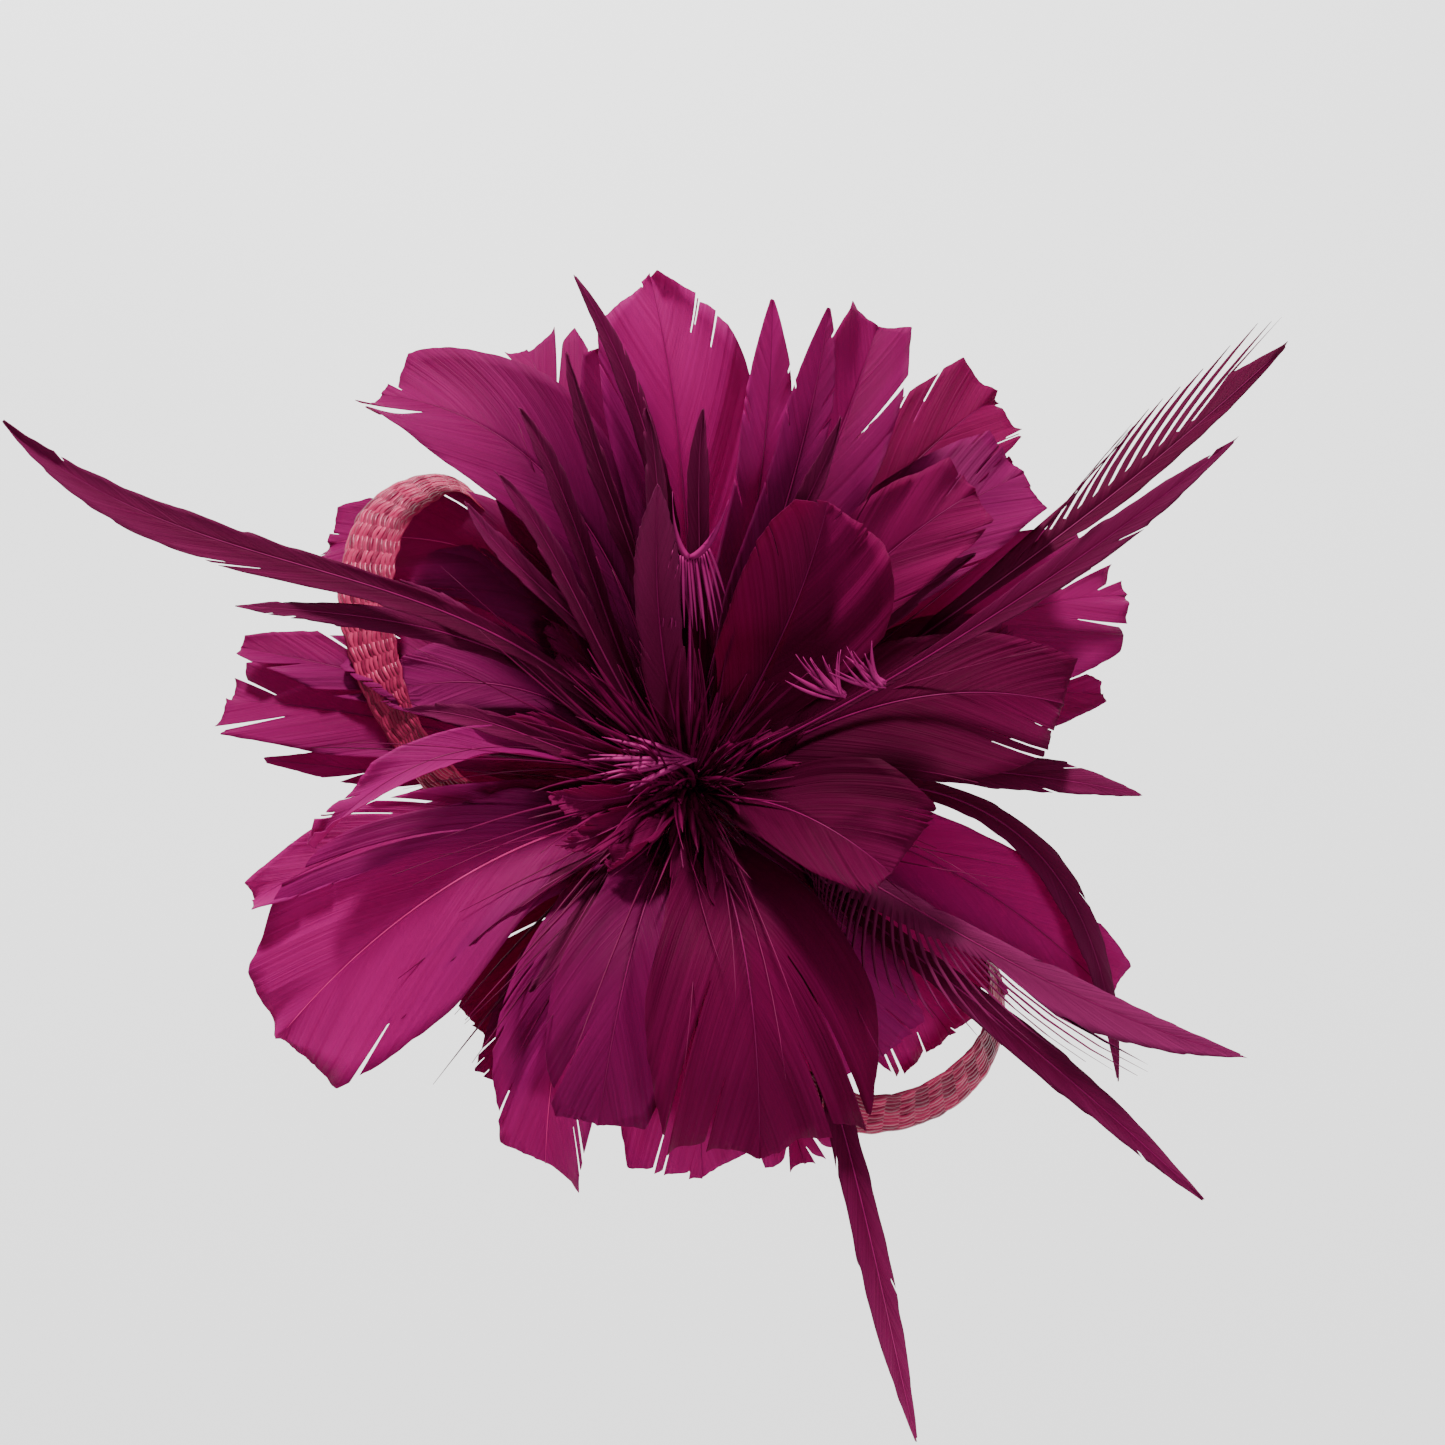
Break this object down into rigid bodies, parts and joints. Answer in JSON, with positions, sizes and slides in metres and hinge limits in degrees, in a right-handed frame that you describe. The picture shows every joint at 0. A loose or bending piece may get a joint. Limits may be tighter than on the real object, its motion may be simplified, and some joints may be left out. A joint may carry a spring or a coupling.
{
  "type": "feather flower fascinator",
  "caption": "Feather-flower fascinator: layered trimmed feather petals, long pointed hackles and two braid loops on a stiffened disc, with a sprung hair clip and a brooch pin behind.",
  "frame": {"origin": "in the closed mouth of the hair clip, under the middle of the flower", "axes": "+Z the way the flower faces, +X along the clip towards the tips of its jaws"},
  "size_m": [0.2405, 0.2085, 0.0965],
  "materials": {
    "petal_bright": "dyed trimmed goose feather, soft sheen, fine barbs",
    "petal": "dyed trimmed goose feather, soft sheen, fine barbs",
    "petal_dark": "dyed trimmed goose feather seen on its shaded face",
    "hackle": "dyed hackle feather, glossy, loose barbs",
    "braid": "glossy plaited straw braid",
    "felt": "matte wool felt",
    "straw": "stiffened open-weave straw cloth",
    "thread": "waxed binding thread",
    "steel": "bright nickel-plated pressed steel, polished"
  },
  "bodies": {
    "flower": {"felt_pad": "felt", "base_disc": "straw", "stem_core": "thread", "stem_binding": "thread", "clip_top_jaw": "steel", "clip_spring": "steel", "clip_hinge_pin": "steel", "brooch_bar": "steel", "brooch_pin_rivet": "steel", "outer_petal_01": "petal_bright", "outer_petal_02": "petal_bright", "outer_petal_03": "petal_bright", "outer_petal_04": "petal_bright", "outer_petal_05": "petal_bright", "outer_petal_06": "petal_bright", "outer_petal_07": "petal_bright", "outer_petal_08": "petal_bright", "outer_petal_09": "petal_bright", "outer_petal_10": "petal_bright", "outer_petal_11": "petal_bright", "outer_petal_12": "petal_bright", "outer_petal_13": "petal_bright", "outer_petal_14": "petal_bright", "middle_petal_01": "petal", "middle_petal_02": "petal", "middle_petal_03": "petal", "middle_petal_04": "petal", "middle_petal_05": "petal", "middle_petal_06": "petal", "middle_petal_07": "petal", "middle_petal_08": "petal", "middle_petal_09": "petal", "middle_petal_10": "petal", "middle_petal_11": "petal", "middle_petal_12": "petal", "inner_petal_01": "petal_dark", "inner_petal_02": "petal_dark", "inner_petal_03": "petal_dark", "inner_petal_04": "petal_dark", "hackle_01": "hackle", "hackle_02": "hackle", "hackle_03": "hackle", "hackle_04": "hackle", "hackle_05": "hackle", "hackle_06": "hackle", "hackle_07": "hackle", "hackle_08": "hackle", "hackle_09": "hackle", "hackle_10": "hackle", "hackle_11": "hackle", "left_braid_loop": "braid", "right_braid_loop": "braid"},
    "lower_jaw": {"clip_lower_jaw": "steel"},
    "pin": {"brooch_pin": "steel"},
    "catch_gate": {"safety_catch_gate": "steel"}
  },
  "joints": [
    {"name": "clip_hinge", "type": "hinge", "parent": "flower", "child": "lower_jaw", "pos_m": [-0.012, 0, -0.0026], "axis": [0, 1, 0], "range_deg": [0, 25], "stiffness_Nm_per_rad": 0.06, "springref_deg": -85.94, "deforming": ["clip_spring"]},
    {"name": "pin_hinge", "type": "hinge", "parent": "flower", "child": "pin", "pos_m": [-0.014, -0.0132, -0.0032], "axis": [0, 1, 0], "range_deg": [0, 75]},
    {"name": "catch_turn", "type": "hinge", "parent": "flower", "child": "catch_gate", "pos_m": [0.0138, -0.0132, -0.0032], "axis": [1, 0, 0], "range_deg": [0, 120]}
  ]
}
